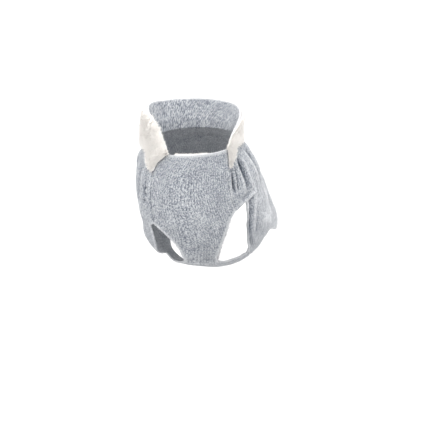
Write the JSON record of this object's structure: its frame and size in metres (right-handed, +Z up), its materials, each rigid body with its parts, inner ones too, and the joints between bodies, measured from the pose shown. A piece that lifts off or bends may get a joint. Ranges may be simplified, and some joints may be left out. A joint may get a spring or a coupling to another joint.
{
  "type": "cat sweater",
  "caption": "Sleeveless knitted pullover for a cat, in its worn shape, with a cream plush collar, leg holes, a belly band and a longer back.",
  "frame": {"origin": "the centre of the neck opening, where the wearer's neck carries the sweater", "axes": "+Z up, the chest faces -Y, the back runs to +Y and down to the rump, and the wearer's left side is +X"},
  "size_m": [0.1239, 0.2141, 0.1734],
  "materials": {
    "knit": "soft blue-grey marl knit, finely ribbed and lightly brushed",
    "plush": "matt cream plush with a soft long pile"
  },
  "bodies": {
    "root": {"chest_panel": "knit", "back_panel": "knit", "neck_stand": "knit", "collar": "plush", "neck_facing": "plush"}
  },
  "joints": []
}
